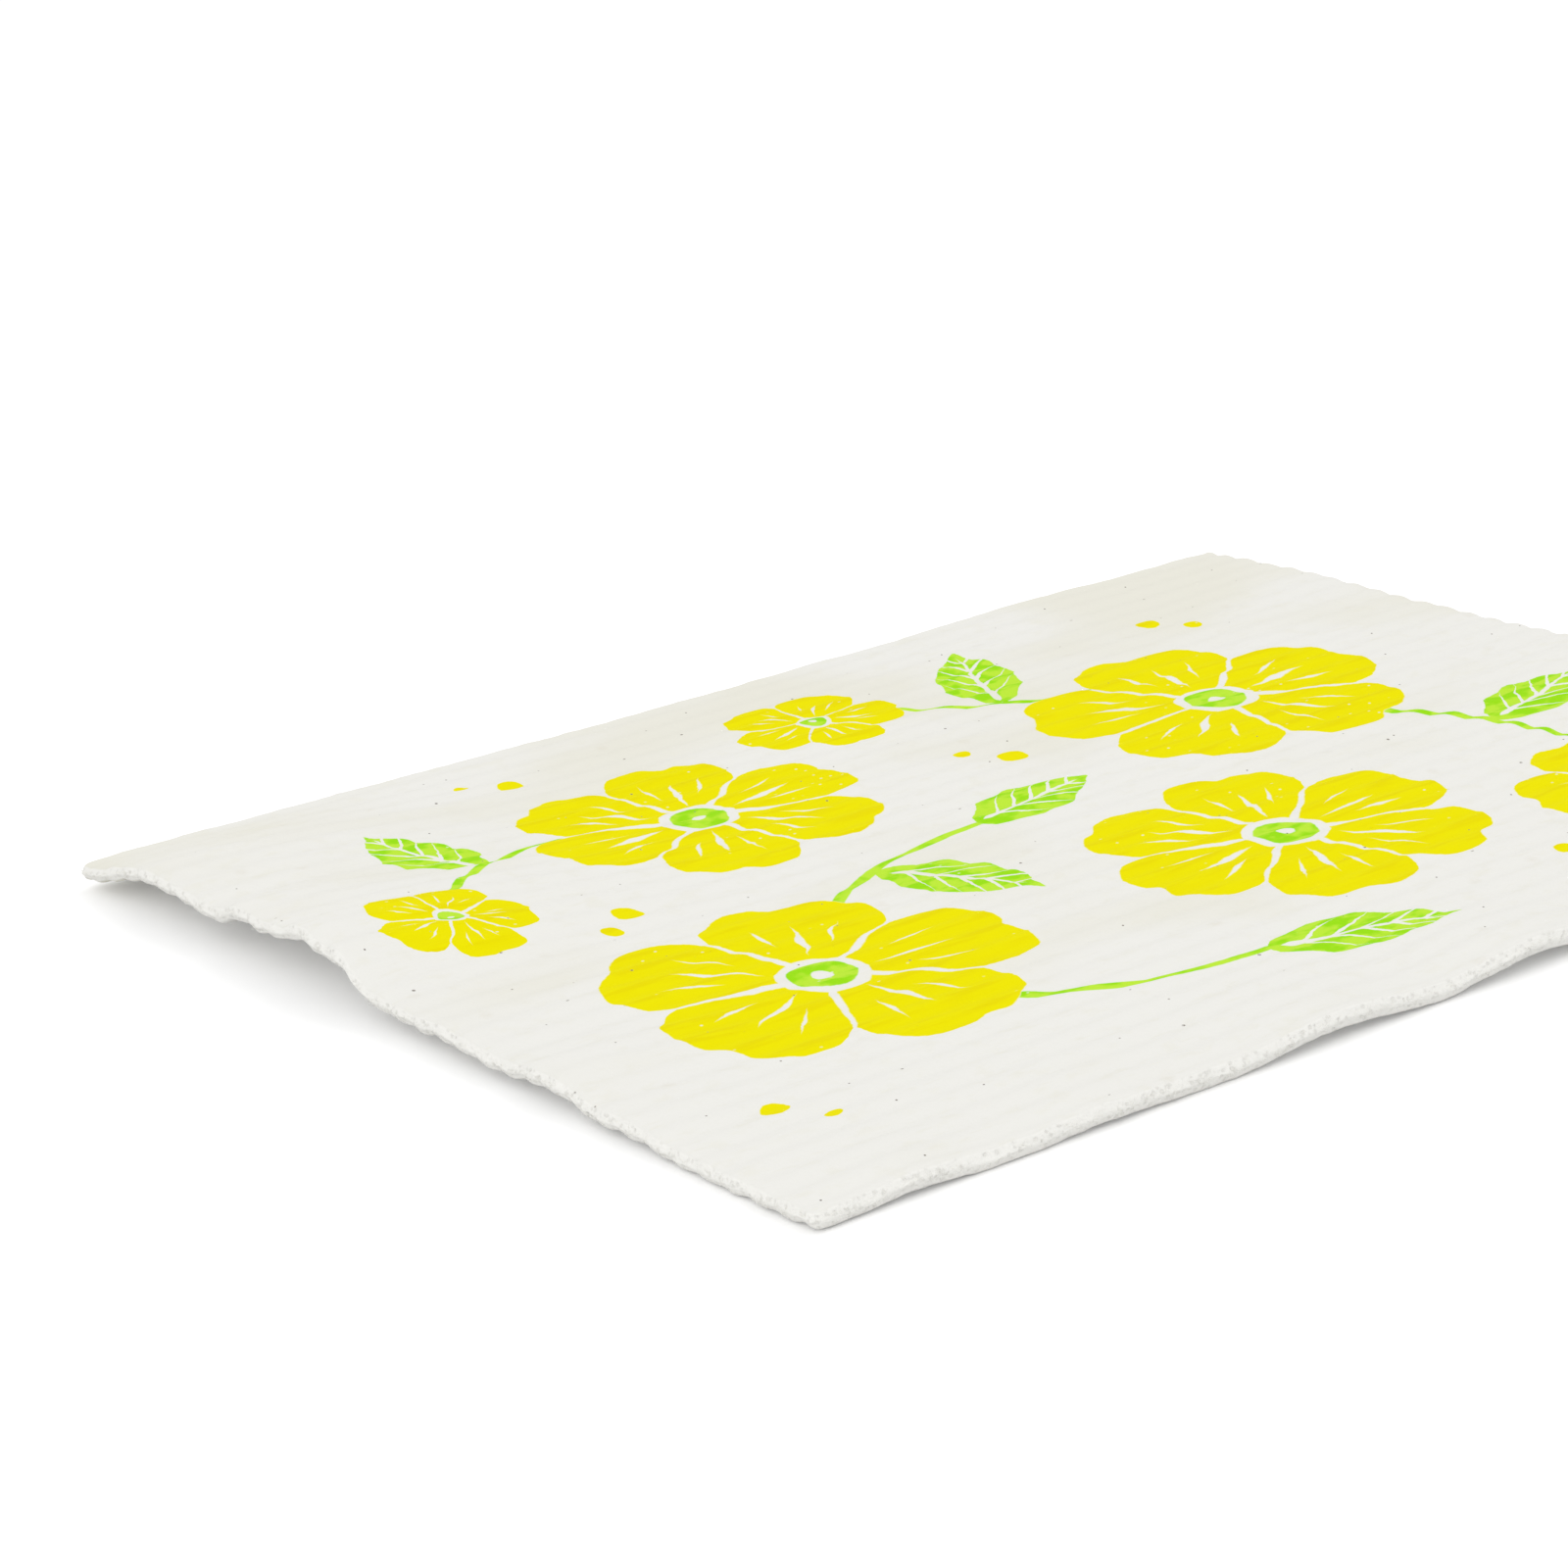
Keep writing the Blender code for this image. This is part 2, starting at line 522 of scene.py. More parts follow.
# Cellulose: its colours, its pattern in millimetres, and its relief in metres
cellulose = {
    "cloth": tint(239, 238, 233),
    "warmCloth": tint(234, 232, 220),
    "paintedLightCut": tint(248, 247, 242),  # painted light: lighter than the faces, so the cut shows as bright as the lit top
    # painted shade in the cut's open pores, and how strongly it is laid on
    "paintedPoreShade": tint(206, 203, 192),
    "paintedPoreShadeShare": 0.24,
    "speck": tint(82, 66, 52),
    "smudge": tint(216, 208, 190),
    "warmPatches": ((30.0, 44.0, 30.0), 0.48, 0.76, 0.9),  # size, start and end of the slope, strength
    "warmLean": 0.0016,  # the cloth is warmer towards its left side
    "marks": (((0.8, 4.6, 0.8), 0.58, 0.76, 0.34), ((2.4, 3.6, 2.4), 0.52, 0.74, 0.36)),
    "smudges": (17.0, 0.2, 1.3, 0.45),  # spacing, radius of middle and rim, share of places left free
    "smudgeStrength": 0.30,
    "largeSpecks": (21.0, 0.12, 0.28, 0.45),
    "smallSpecks": (12.0, 0.07, 0.18, 0.40),
    "speckStrength": (0.30, 0.55, 0.35, 0.95),
    "raggedSize": (0.5, 0.5, 0.5),
    "roughness": 0.97,
    "inkRoughness": 0.90,
    "specular": 0.04,
    "grainSize": 0.38,
    "grainDetail": (3.0, 0.62),  # octaves, and how strong each is beside the one before
    "grainHeight": 0.00007,
    "matBend": ((1.6, 2.2, 1.6), 1.1),  # size of a wave that bends fibres and pores, and its reach
    "fibreSize": (0.24, 1.4, 0.24),
    "fibreDetail": (3.0, 0.60),
    "poreSize": (1.3, 1.7, 1.3),
    "poreSlope": (0.02, 0.26),  # from its floor to its rim
    "plainPoreDepth": 0.45,
    "inkedPoreDepth": 0.30,
    "clumpSize": (1.0, 1.0, 0.7),
    "clumpDetail": (3.0, 0.65),
    "clumpHeight": 3.6,
    "cutPoreSize": (0.9, 0.9, 0.8),
    "cutPoreSlope": (0.05, 0.42),
    "cutPoreRaggedness": 0.9,
    "cutSlope": (0.55, 0.86),  # the normal's upward share where the cut ends and where the face begins
}


def buildGrain():
    # Matted fibres and sparse shallow pores, and a much rougher cut
    tree, given, result = newGroup(
        "sponge grain",
        [
            ("Position", "vector"), ("Grain size", "value"),
            ("Pore depth", "value"), ("Cut share", "value"),
        ],
        [("Height", "value"), ("Open pore", "value")],
    )
    size = tree.nodes.new("ShaderNodeCombineXYZ")
    for axis in "XYZ":
        tree.links.new(given["Grain size"], size.inputs[axis])
    waves, reach = cellulose["matBend"]
    bent = noiseNode(tree, given["Position"], waves, detail=1.0)
    shifted = vectorCalc(tree, "ADD", given["Position"], scaled(tree, bent.outputs["Color"], reach))
    fibres = noiseNode(tree, shifted, cellulose["fibreSize"], *cellulose["fibreDetail"])
    grain = noiseNode(tree, given["Position"], size.outputs[0], *cellulose["grainDetail"])
    matted = blend(tree, "FLOAT", 0.5, fibres.outputs["Fac"], grain.outputs["Fac"])
    fromPore = cellNode(tree, shifted, cellulose["poreSize"]).outputs["Distance"]
    pore = ramp(tree, fromPore, *cellulose["poreSlope"], 1.0, 0.0)
    height = minus(tree, matted, times(tree, pore, given["Pore depth"]))

    # The blade leaves the cut torn into clumps, with open pores between them
    clumps = noiseNode(tree, shifted, cellulose["clumpSize"], *cellulose["clumpDetail"]).outputs["Fac"]
    ragged = times(tree, minus(tree, grain.outputs["Fac"], 0.5), cellulose["cutPoreRaggedness"])
    fromPore = cellNode(tree, shifted, cellulose["cutPoreSize"]).outputs["Distance"]
    openPore = ramp(tree, plus(tree, fromPore, ragged), *cellulose["cutPoreSlope"], 1.0, 0.0)
    torn = minus(tree, times(tree, clumps, cellulose["clumpHeight"]), openPore)
    feed(tree, result["Height"], plus(tree, height, times(tree, torn, given["Cut share"])))
    # where the cut's pores open, which the materials darken with painted shade
    feed(tree, result["Open pore"], times(tree, openPore, given["Cut share"]))
    return tree


def buildStains():
    # The undyed cloth's own colour: faint warm patches, marks along the ribs, smudges and specks
    tree, given, result = newGroup(
        "undyed cloth", [("Position", "vector")], [("Colour", "colour")]
    )
    x, _ = splitFlat(tree, given["Position"])
    size, low, high, strength = cellulose["warmPatches"]
    broad = noiseNode(tree, given["Position"], size).outputs["Fac"]
    warmer = minus(tree, broad, times(tree, x, cellulose["warmLean"]))
    warm = ramp(tree, warmer, low, high, 0.0, strength)
    colour = blend(tree, "RGBA", warm, cellulose["cloth"], cellulose["warmCloth"])

    for size, low, high, strength in cellulose["marks"]:
        marks = noiseRamp(tree, given["Position"], size, low, high, 0.0, strength)
        colour = blend(tree, "RGBA", marks, colour, cellulose["warmCloth"])

    def spots(size, low, high, chosen):
        cells = cellNode(tree, given["Position"], (size, size, size), flat=True)
        pick = redOf(tree, cells.outputs["Color"])
        near = ramp(tree, cells.outputs["Distance"], low / size, high / size, 1.0, 0.0)
        return times(tree, near, calc(tree, "GREATER_THAN", pick, chosen))

    ragged = noiseNode(tree, given["Position"], cellulose["raggedSize"], detail=1.0).outputs["Fac"]
    smudge = times(tree, spots(*cellulose["smudges"]), times(tree, ragged, cellulose["smudgeStrength"]))
    colour = blend(tree, "RGBA", smudge, colour, cellulose["smudge"])
    speck = calc(tree, "MAXIMUM", spots(*cellulose["largeSpecks"]), spots(*cellulose["smallSpecks"]))
    speck = times(tree, speck, ramp(tree, ragged, *cellulose["speckStrength"]))
    feed(tree, result["Colour"], blend(tree, "RGBA", speck, colour, cellulose["speck"]))
    return tree


grainGroup = buildGrain()
stainGroup = buildStains()
printGroup = buildPrint(printLayout)


def newCellulose(name):
    # Undyed cellulose: its tree, its shader and where its pattern is read
    material = bpy.data.materials.new(name)
    material.use_nodes = True
    tree = material.node_tree
    shader = tree.nodes["Principled BSDF"]
    shader.inputs["Metallic"].default_value = 0.0
    shader.inputs["Specular IOR Level"].default_value = cellulose["specular"]
    shader.inputs["Roughness"].default_value = cellulose["roughness"]
    return material, tree, shader, millimetres(tree)


def faceShare(tree):
    # 1 on the cloth's faces and 0 on its cut edges
    geometry = tree.nodes.new("ShaderNodeNewGeometry")
    turned = tree.nodes.new("ShaderNodeSeparateXYZ")
    tree.links.new(geometry.outputs["Normal"], turned.inputs[0])
    return ramp(tree, calc(tree, "ABSOLUTE", turned.outputs["Z"]), *cellulose["cutSlope"])


def finishCellulose(tree, shader, position, poreDepth, colour):
    # The grain of the faces, and the torn cut with painted light on it and painted shade in its open
    # pores
    onFace = faceShare(tree)
    grain = placeGroup(
        tree, grainGroup,
        **{
            "Position": position,
            "Grain size": cellulose["grainSize"],
            "Pore depth": poreDepth,
            "Cut share": minus(tree, 1.0, onFace),
        },
    )
    # The cut is painted lighter than the faces: painted light, not a cleaner colour
    colour = blend(tree, "RGBA", onFace, cellulose["paintedLightCut"], colour)
    # Painted shade: the cut's open pores are darkened in colour as if in shadow
    shade = times(tree, grain["Open pore"], cellulose["paintedPoreShadeShare"])
    feed(tree, shader.inputs["Base Color"], blend(tree, "RGBA", shade, colour, cellulose["paintedPoreShade"]))
    bump = tree.nodes.new("ShaderNodeBump")
    bump.inputs["Strength"].default_value = 1.0
    bump.inputs["Distance"].default_value = cellulose["grainHeight"]
    tree.links.new(grain["Height"], bump.inputs["Height"])
    tree.links.new(bump.outputs["Normal"], shader.inputs["Normal"])


def makePlainCellulose():
    # The underside, the cut edges and their fibres
    material, tree, shader, position = newCellulose("plain cellulose")
    colour = placeGroup(tree, stainGroup, Position=position)["Colour"]
    finishCellulose(tree, shader, position, cellulose["plainPoreDepth"], colour)
    return material


# How the inks lie on the cloth, in millimetres
inkCoat = {
    "crest": (-0.4, 1.0),  # the ribs' wave, where an ink begins to deepen and where it is deepest
    "streaks": ((1.1, 8.0, 1.1), 0.40, 0.68),  # in the yellow
    "streaksInGrooves": 0.25,
    "patchSize": (2.2, 3.6, 2.2),  # in the green
    "patchSlope": (0.46, 0.66),
    "patchLean": 0.10,  # towards the crests
    "pinholeSpacing": (1.5, 2.0, 1.5),
    "pinholeSlope": (0.04, 0.15, 0.80, 0.0),
    "pinholesLeftOut": 0.84,  # share of their places
    "pinholeGroups": ((9.0, 9.0, 9.0), 0.52, 0.62),
    "overSpecks": (0.30, 0.72, 0.25, 1.0),  # an ink covers less where the cloth is dark
}


def makePrintedCellulose():
    material, tree, shader, position = newCellulose("printed cellulose")
    colour = placeGroup(tree, stainGroup, Position=position)["Colour"]
    inks = placeGroup(tree, printGroup, Position=position)

    # Each ink is a little deeper along the ribs' crests, and in patches
    layout, coat = printLayout, inkCoat
    crest = ramp(tree, ribWave(tree, position, layout["ribPitch"]), *coat["crest"])
    streaks = noiseRamp(tree, position, *coat["streaks"])
    streaked = plus(tree, crest, coat["streaksInGrooves"])
    deepYellow = calc(tree, "MULTIPLY", streaks, streaked, clamp=True)
    patches = noiseNode(tree, position, coat["patchSize"]).outputs["Fac"]
    patched = plus(tree, patches, times(tree, crest, coat["patchLean"]))
    deepGreen = ramp(tree, patched, *coat["patchSlope"])
    yellow = blend(tree, "RGBA", deepYellow, layout["yellow"], layout["deepYellow"])
    green = blend(tree, "RGBA", deepGreen, layout["green"], layout["deepGreen"])

    # Pinholes where the ink missed, a few together
    holes = cellNode(tree, position, coat["pinholeSpacing"], flat=True)
    hole = ramp(tree, holes.outputs["Distance"], *coat["pinholeSlope"])
    chosen = calc(tree, "GREATER_THAN", redOf(tree, holes.outputs["Color"]), coat["pinholesLeftOut"])
    together = noiseRamp(tree, position, *coat["pinholeGroups"])
    missed = times(tree, times(tree, hole, chosen), together)
    inked = minus(tree, 1.0, missed)
    yellowShare = times(tree, inks["Yellow"], inked)
    greenShare = times(tree, inks["Green"], inked)

    # The cloth's dark specks still show through the ink
    ink = calc(tree, "MAXIMUM", yellowShare, greenShare)
    moreYellow = calc(tree, "GREATER_THAN", yellowShare, greenShare)
    bright = ramp(tree, redOf(tree, colour), *coat["overSpecks"])
    inkColour = blend(tree, "RGBA", moreYellow, green, yellow)
    colour = blend(tree, "RGBA", times(tree, ink, bright), colour, inkColour)
    roughness = blend(tree, "FLOAT", ink, cellulose["roughness"], cellulose["inkRoughness"])
    feed(tree, shader.inputs["Roughness"], roughness)
    finishCellulose(tree, shader, position, cellulose["inkedPoreDepth"], colour)
    return material


printedCellulose = makePrintedCellulose()
plainCellulose = makePlainCellulose()
print("cellulose and inks mixed")


# The cloth: one ribbed sheet, both faces and the cut edge between them
clothForm = {
    "width": 0.170,
    "length": 0.200,
    "crestThickness": 0.0028,
    "grooveThickness": 0.0020,
    "ribCount": 34,
    "columnsPerRib": 7,
    "rowSpacing": 0.00115,
    "crestPower": 0.75,  # under 1 the crests are broad and the grooves narrow
    "ribWander": (0.012, 0.00035),  # size and reach
    "heightChange": (0.009, 0.25),  # size, and the share by which a rib's height varies along it
    "endPress": 0.45,  # share of a rib's height that the blade takes at the cut ends
    "lumps": ((0.015, 0.00005), (0.0026, 0.00006), (0.0012, 0.00003)),  # size and height
    "cornerRadius": 0.00115,
    "shoulder": 0.0011,  # the rounding of the cut edge
    "edgeSteps": (0.0, 0.00014, 0.00038, 0.00072, 0.00115),
    "innerStart": 0.0005,  # from the last of these to the even grid
    "cutRows": 4,
    "cutShare": 0.30,  # share of the thickness left upright at the cut
    "cutSwell": 0.00022,
    "edgeFade": 0.0045,  # how far in from the cut its wandering reaches
    "edgeStray": ((0.0090, 0.00028), (0.0022, 0.00018), (0.0010, 0.00009)),  # size and reach
    "edgeLift": ((0.0050, 0.00020), (0.0018, 0.00010)),
    "ribEnds": 0.00022,  # the crests stand out at the cut ends of the ribs
}

# A dry cloth stands off the floor along its free edges. Each rise has its place along the edge,
# its half span there, its reach inwards and its height
clothRises = {
    "front": (
        (-0.062, 0.025, 0.070, 0.0045),
        (-0.040, 0.007, 0.030, 0.0013),
        (-0.028, 0.034, 0.070, 0.0055),
        (-0.022, 0.007, 0.030, 0.0017),
        (-0.014, 0.007, 0.034, 0.0019),
        (0.010, 0.030, 0.060, 0.0018),
        (0.033, 0.012, 0.035, 0.0018),
        (0.048, 0.013, 0.022, 0.0008),
    ),
    "right": (
        (-0.086, 0.010, 0.022, 0.0005),
        (-0.060, 0.012, 0.022, 0.0004),
        (-0.026, 0.018, 0.026, 0.0012),
        (0.005, 0.018, 0.022, 0.0016),
        (0.042, 0.022, 0.024, 0.0009),
        (0.074, 0.018, 0.024, 0.0013),
    ),
    "left": (
        (-0.100, 0.110, 0.040, 0.0009),
        (0.060, 0.030, 0.024, 0.0005),
    ),
    "back": (
        (-0.062, 0.030, 0.026, 0.0006),
        (0.012, 0.024, 0.024, 0.0007),
        (0.066, 0.026, 0.026, 0.0011),
    ),
}


def bell(share):
    return 0.5 + 0.5 * math.cos(math.pi * min(abs(share), 1.0))


def riseAt(x, y):
    halfWidth, halfLength = clothForm["width"] / 2, clothForm["length"] / 2
    sides = {
        "front": (x, halfLength + y),
        "back": (x, halfLength - y),
        "left": (y, halfWidth + x),
        "right": (y, halfWidth - x),
    }
    total = 0.0
    for side, (along, inwards) in sides.items():
        for place, halfSpan, reach, height in clothRises[side]:
            if inwards < reach:
                total += height * bell((along - place) / halfSpan) * bell(inwards / reach)
    return total


# Where the noise is read, so that no two uses of it look alike
noisePlaces = {
    "ribWander": 3.1,  # from one rib to the next
    "ribHeight": 1.7,
    "ribHeightFace": 0.3,
    "lumps": 0.1,
    "edgeStray": 0.4,
    "edgeLift": 0.7,
    "liftSteadiness": 0.3,  # the cut lifts more evenly through its height than it strays
}


def noiseAt(x, y, z, size):
    # -1 to 1, with lumps of about that size in metres
    return noise.noise(Vector((x, y, z)) / size)


def layered(layers, x, y, z):
    return sum(height * noiseAt(x, y, z, size) for size, height in layers)


def ridgeAt(x, y):
    # 1 on the crest of a rib and 0 in a groove. The ribs wander a little
    form = clothForm
    pitch = form["width"] / form["ribCount"]
    size, reach = form["ribWander"]
    strayed = x + reach * noiseAt(round(x / pitch) * noisePlaces["ribWander"], y, 0.0, size)
    return (0.5 + 0.5 * math.cos(2 * math.pi * strayed / pitch)) ** form["crestPower"]


def halfThicknessAt(x, y, face):
    form = clothForm
    rib = round(x * form["ribCount"] / form["width"])
    size, share = form["heightChange"]
    places = noisePlaces
    uneven = 1.0 + share * noiseAt(rib * places["ribHeight"], y, places["ribHeightFace"] + face, size)
    nearEnd = max(0.0, 1.0 - (form["length"] / 2 - abs(y)) / form["edgeFade"])
    relief = (form["crestThickness"] - form["grooveThickness"]) / 2
    relief *= 1.0 - form["endPress"] * nearEnd
    half = form["grooveThickness"] / 2 + relief * ridgeAt(x, y) * uneven
    return half + layered(form["lumps"], x, y, places["lumps"] * face)


def shoulderShare(distance):
    # Share of the thickness that is left this far from the cut edge
    form = clothForm
    if distance >= form["shoulder"]:
        return 1.0
    rounded = math.sqrt(1.0 - (1.0 - distance / form["shoulder"]) ** 2)
    return form["cutShare"] + (1.0 - form["cutShare"]) * rounded


def roundedPlan(x, y):
    # Each corner square of the grid becomes a quarter disc. Also gives the distance to the cut
    form = clothForm
    radius = form["cornerRadius"]
    halfWidth, halfLength = form["width"] / 2, form["length"] / 2
    fromSide, fromEnd = halfWidth - abs(x), halfLength - abs(y)
    if fromSide >= radius or fromEnd >= radius:
        return x, y, min(fromSide, fromEnd)
    across, along = 1.0 - fromSide / radius, 1.0 - fromEnd / radius
    u = across * math.sqrt(1.0 - along * along / 2)
    v = along * math.sqrt(1.0 - across * across / 2)
    x = math.copysign(halfWidth - radius + radius * u, x)
    y = math.copysign(halfLength - radius + radius * v, y)
    return x, y, max(radius * (1.0 - math.hypot(u, v)), 0.0)


def outwardsAt(x, y):
    # Which way the nearest cut lies, and how much of its wandering is felt here
    form = clothForm
    side = max(0.0, 1.0 - (form["width"] / 2 - abs(x)) / form["edgeFade"])
    end = max(0.0, 1.0 - (form["length"] / 2 - abs(y)) / form["edgeFade"])
    reach = math.hypot(side, end)
    if reach == 0.0:
        return Vector((0.0, 0.0, 0.0)), 0.0
    outwards = Vector((math.copysign(side, x), math.copysign(end, y), 0.0)) / reach
    return outwards, min(reach, 1.0) ** 2


def edgeLines(fullSize, spacing):
    # Lines across the sheet: close together in the rounded edge, evenly spaced inside it
    half = fullSize / 2
    steps = clothForm["edgeSteps"]
    start = steps[-1] + clothForm["innerStart"]
    count = round((fullSize - 2 * start) / spacing)
    inner = [-half + start + (fullSize - 2 * start) * i / count for i in range(count + 1)]
    return [-half + s for s in steps] + inner + [half - s for s in reversed(steps)]


def placeOnCloth(x, y, level):
    # level is 0 on the underside and 1 on the printed face, and between them on the cut
    form = clothForm
    x, y, fromCut = roundedPlan(x, y)
    face = 1.0 if level > 0.5 else -1.0
    outwards, felt = outwardsAt(x, y)
    half = halfThicknessAt(x, y, face) * shoulderShare(fromCut)
    z = form["crestThickness"] / 2 + riseAt(x, y) + half * (2.0 * level - 1.0)
    height = level * form["crestThickness"]

    # The cut is matted: it wanders in and out and swells half way up
    swell = form["cutSwell"] * (1.0 - (2.0 * level - 1.0) ** 2)
    stray = swell + layered(form["edgeStray"], x, y, noisePlaces["edgeStray"] + height)
    stray += form["ribEnds"] * (ridgeAt(x, y) - 0.5) * abs(outwards.y)
    liftPlace = noisePlaces["edgeLift"] + noisePlaces["liftSteadiness"] * height
    z += felt * layered(form["edgeLift"], x, y, liftPlace)
    place = Vector((x, y, 0.0)) + outwards * (stray * felt)
    return Vector((place.x, place.y, max(z, 0.0)))


def layOutSheet(columnCount, rowCount):
    # Two layers, a unit wide and a unit apart, joined round their borders
    bm = bmesh.new()
    bmesh.ops.create_grid(bm, x_segments=columnCount, y_segments=rowCount, size=0.5)
    copied = bmesh.ops.duplicate(bm, geom=bm.verts[:] + bm.edges[:] + bm.faces[:])
    upper = [item for item in copied["geom"] if isinstance(item, bmesh.types.BMVert)]
    upperFaces = set(item for item in copied["geom"] if isinstance(item, bmesh.types.BMFace))
    bmesh.ops.translate(bm, vec=(0.0, 0.0, 1.0), verts=upper)
    lowerFaces = [face for face in bm.faces if face not in upperFaces]
    bmesh.ops.reverse_faces(bm, faces=lowerFaces)
    for face in upperFaces:
        face.material_index = 1
    border = [edge for edge in bm.edges if edge.is_boundary]
    joined = bmesh.ops.bridge_loops(bm, edges=border)["edges"]
    upright = [edge for edge in joined if abs(edge.verts[0].co.z - edge.verts[1].co.z) > 0.5]
    cuts = clothForm["cutRows"] - 1
    bmesh.ops.subdivide_edges(bm, edges=upright, cuts=cuts, use_grid_fill=True)
    return bm


def makeCloth():
    form = clothForm
    columns = edgeLines(form["width"], form["width"] / form["ribCount"] / form["columnsPerRib"])
    rows = edgeLines(form["length"], form["rowSpacing"])
    columnCount, rowCount = len(columns) - 1, len(rows) - 1
    bm = layOutSheet(columnCount, rowCount)
    print("cloth laid out:", len(bm.faces), "faces")

    for vert in bm.verts:
        x = columns[round((vert.co.x + 0.5) * columnCount)]
        y = rows[round((vert.co.y + 0.5) * rowCount)]
        vert.co = placeOnCloth(x, y, vert.co.z)
    bmesh.ops.recalc_face_normals(bm, faces=bm.faces[:])

    mesh = bpy.data.meshes.new("cloth_surface")
    bm.to_mesh(mesh)
    bm.free()
    mesh.materials.append(plainCellulose)
    mesh.materials.append(printedCellulose)
    mesh.shade_smooth()
    cloth = bpy.data.objects.new("cloth_surface", mesh)
    bpy.context.scene.collection.objects.link(cloth)
    return cloth


cloth = makeCloth()
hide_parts("sponge_cloth")
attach(cloth, "root")
print("cloth shaped")


# Short fibres that the blade left standing along the cut edges, in tufts
edgeFibres = {
    "tuftsPerMillimetre": 2.6,
    "fibresPerTuft": 5,
    "tuftWidth": 0.00030,
    "length": (0.00018, 0.00075),
    "thickness": 0.000026,
    "lengthShare": (0.5, 1.1),  # of a fibre in its tuft
    "thinning": 0.7,  # towards its tip
    "upwards": 1.6,  # how much a tuft near a face rises or falls
    "levelSpread": 0.12,
    "lean": 0.45,  # how far a tuft turns from straight out, in radians
    "spread": 0.55,  # and a fibre from its tuft
    "curl": 0.00013,
    "rootDepth": 0.00012,
    "seed": 11,
}


def turnedBy(chance, direction, amount):
    turned = direction.copy()
    turned.rotate(Euler([chance.gauss(0.0, amount) for _ in range(3)]))
    return turned


def within(value, most):
    return min(max(value, 0.0), most)


def drawFibre(curve, start, direction, length, bend):
    # It curls more and more towards its tip, and never dips into the floor
    spline = curve.splines.new("POLY")
    spline.points.add(2)
    for i, point in enumerate(spline.points):
        share = i / 2
        place = start + direction * (length * share) + bend * share * share
        point.co = (place.x, place.y, max(place.z, edgeFibres["thickness"]), 1.0)
        point.radius = 1.0 - edgeFibres["thinning"] * share


def drawTuft(curve, chance, sideLength, pointAt):
    look = edgeFibres
    along = chance.uniform(0.0, sideLength)
    level = chance.uniform(0.0, 1.0)
    outwards, _ = outwardsAt(*pointAt(along))
    upwards = Vector((0.0, 0.0, look["upwards"] * (level - 0.5)))
    tuft = turnedBy(chance, (outwards + upwards).normalized(), look["lean"])
    tuftLength = chance.uniform(*look["length"])
    for _ in range(look["fibresPerTuft"]):
        near = within(along + chance.gauss(0.0, look["tuftWidth"]), sideLength)
        nearLevel = within(level + chance.gauss(0.0, look["levelSpread"]), 1.0)
        root = placeOnCloth(*pointAt(near), nearLevel)
        direction = turnedBy(chance, tuft, look["spread"])
        length = tuftLength * chance.uniform(*look["lengthShare"])
        bend = Vector([chance.gauss(0.0, look["curl"]) for _ in range(3)])
        drawFibre(curve, root - outwards * look["rootDepth"], direction, length, bend)


def makeEdgeFibres():
    chance = random.Random(edgeFibres["seed"])
    curve = bpy.data.curves.new("edge_fibres", "CURVE")
    curve.dimensions = "3D"
    curve.bevel_depth = edgeFibres["thickness"]
    curve.bevel_resolution = 0
    curve.use_fill_caps = True
    width, length = clothForm["width"], clothForm["length"]
    sides = (
        (width, lambda s: (s - width / 2, -length / 2)),
        (length, lambda s: (width / 2, s - length / 2)),
        (width, lambda s: (s - width / 2, length / 2)),
        (length, lambda s: (-width / 2, s - length / 2)),
    )
    for sideLength, pointAt in sides:
        for _ in range(round(sideLength * 1000 * edgeFibres["tuftsPerMillimetre"])):
            drawTuft(curve, chance, sideLength, pointAt)
    curve.materials.append(plainCellulose)
    fibres = bpy.data.objects.new("edge_fibres", curve)
    bpy.context.scene.collection.objects.link(fibres)
    return fibres


fibres = makeEdgeFibres()
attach(fibres, "root")
print("edge fibres set:", len(fibres.data.splines))


# Floor, light and world
studio = {
    "floorSize": 8.0,
    "floor": (0.86, 0.86, 0.86, 1.0),
    "seenFloor": (1.0, 1.0, 1.0, 1.0),
    "floorGlow": 0.14,
    "world": 0.80,
    "softboxes": (  # place, aimed at the cloth, width and height, power in watts
        ((-0.3, 1.3, 1.7), 1.6, 1.2, 6.6),
        ((0.75, -1.15, 1.05), 1.6, 1.2, 6.3),
    ),
}


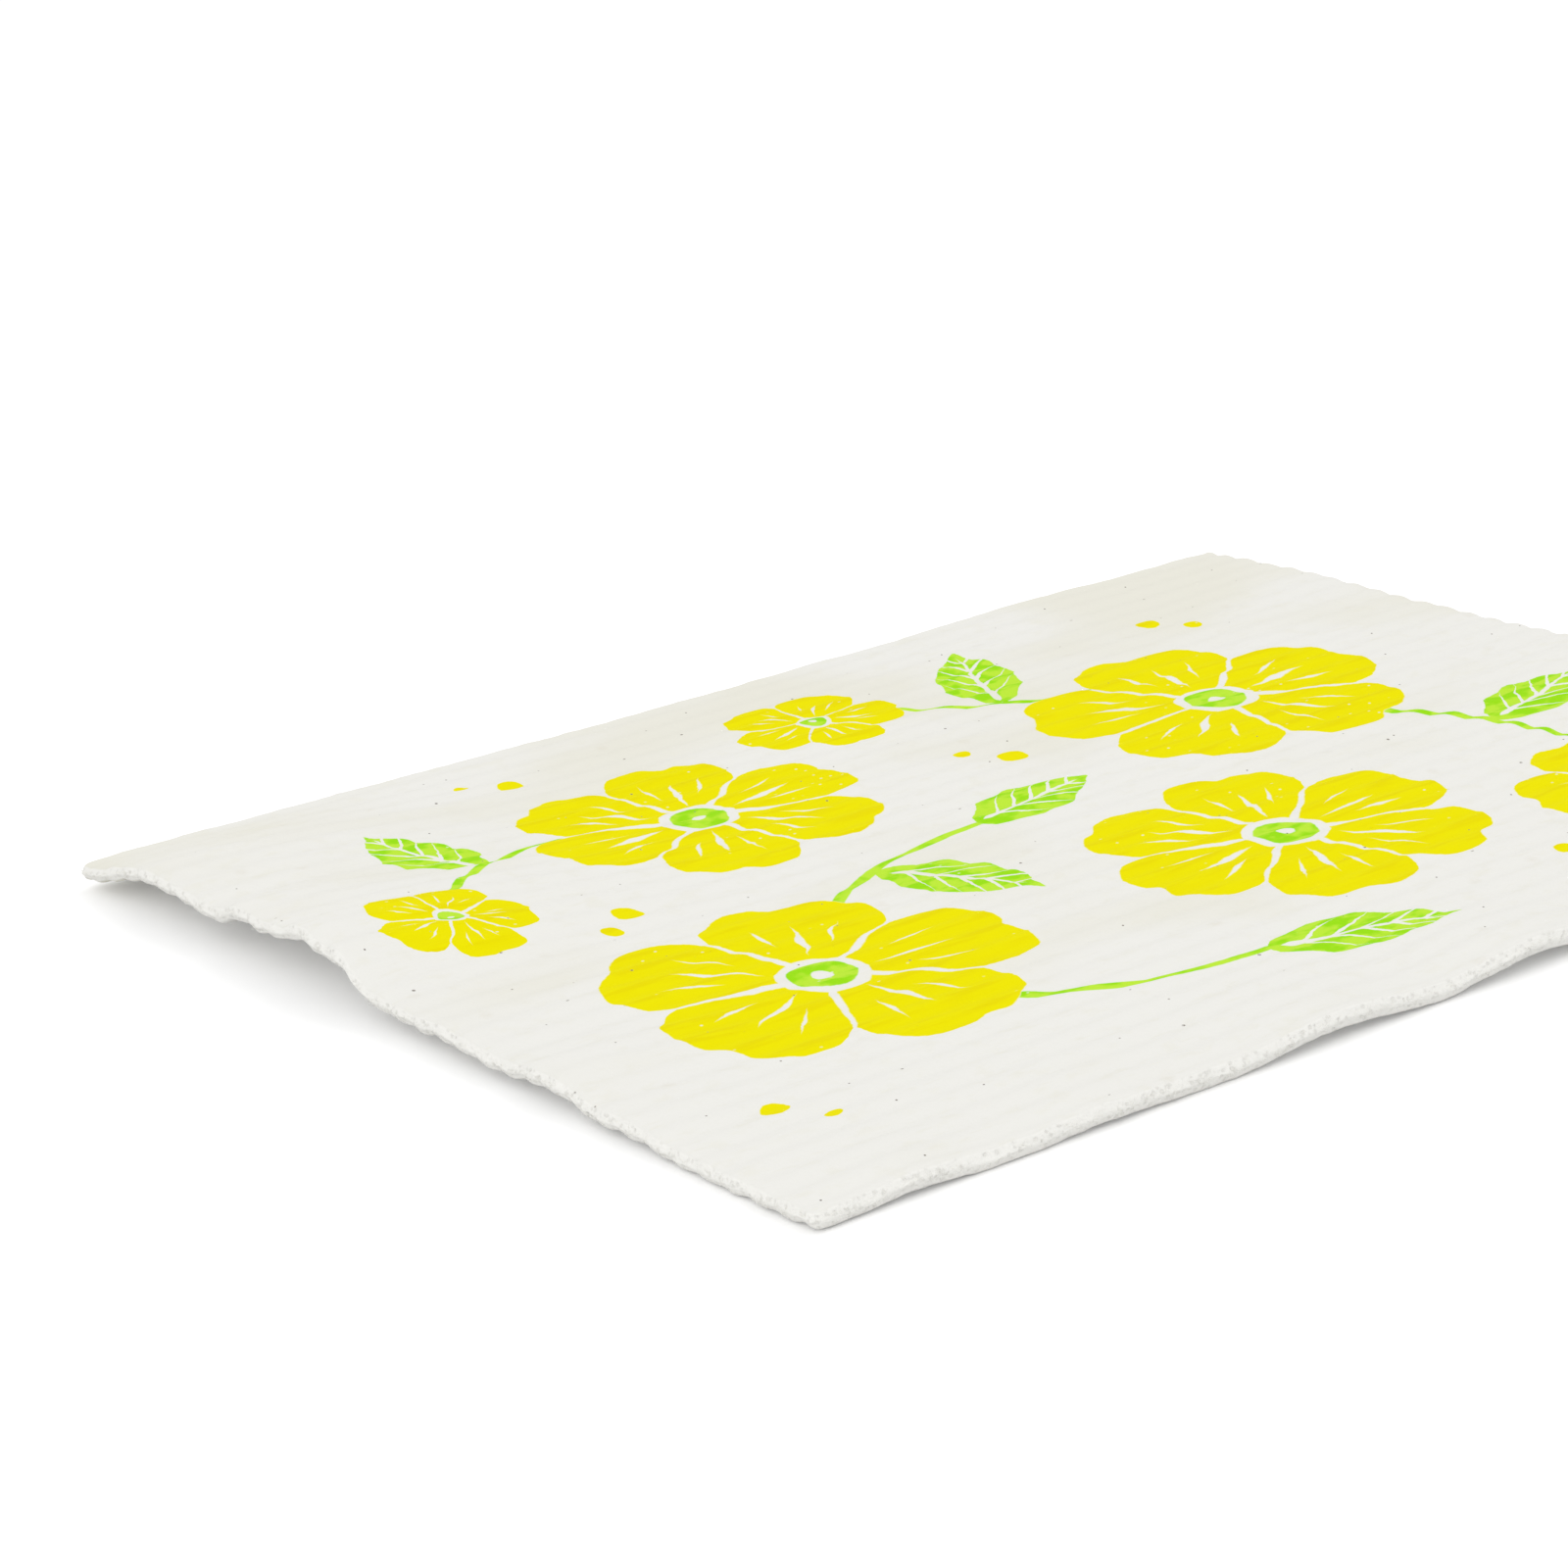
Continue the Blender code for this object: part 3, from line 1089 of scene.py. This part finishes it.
def seenShare(tree):
    # 1 for what the camera sees, straight, in gloss or through glass
    path = tree.nodes.new("ShaderNodeLightPath")
    seen = calc(tree, "MAXIMUM", path.outputs["Is Camera Ray"], path.outputs["Is Glossy Ray"])
    return calc(tree, "MAXIMUM", seen, path.outputs["Is Transmission Ray"])


def makeFloor():
    bm = bmesh.new()
    bmesh.ops.create_grid(bm, x_segments=1, y_segments=1, size=studio["floorSize"] / 2)
    mesh = bpy.data.meshes.new("floor")
    bm.to_mesh(mesh)
    bm.free()
    floor = bpy.data.objects.new("floor", mesh)
    bpy.context.scene.collection.objects.link(floor)

    material = bpy.data.materials.new("pale floor")
    material.use_nodes = True
    tree = material.node_tree
    shader = tree.nodes["Principled BSDF"]
    shader.inputs["Roughness"].default_value = 1.0
    shader.inputs["Specular IOR Level"].default_value = 0.0
    seen = seenShare(tree)
    colour = blend(tree, "RGBA", seen, studio["floor"], studio["seenFloor"])
    feed(tree, shader.inputs["Base Color"], colour)
    shader.inputs["Emission Color"].default_value = (1.0, 1.0, 1.0, 1.0)
    feed(tree, shader.inputs["Emission Strength"], times(tree, seen, studio["floorGlow"]))
    mesh.materials.append(material)


def makeLights():
    for number, (place, width, height, power) in enumerate(studio["softboxes"], 1):
        data = bpy.data.lights.new(f"softbox{number}", "AREA")
        data.shape = "RECTANGLE"
        data.size = width
        data.size_y = height
        data.energy = power
        lamp = bpy.data.objects.new(f"softbox{number}", data)
        lamp.location = place
        lamp.rotation_euler = (-Vector(place)).to_track_quat("-Z", "Y").to_euler()
        bpy.context.scene.collection.objects.link(lamp)


def makeWorld():
    world = bpy.data.worlds.new("studio")
    bpy.context.scene.world = world
    world.use_nodes = True
    tree = world.node_tree
    background = tree.nodes["Background"]
    background.inputs["Color"].default_value = (1.0, 1.0, 1.0, 1.0)
    strength = blend(tree, "FLOAT", seenShare(tree), studio["world"], 1.0)
    feed(tree, background.inputs["Strength"], strength)


makeFloor()
makeLights()
makeWorld()
bpy.context.scene.view_settings.view_transform = "Standard"
print("studio lit")
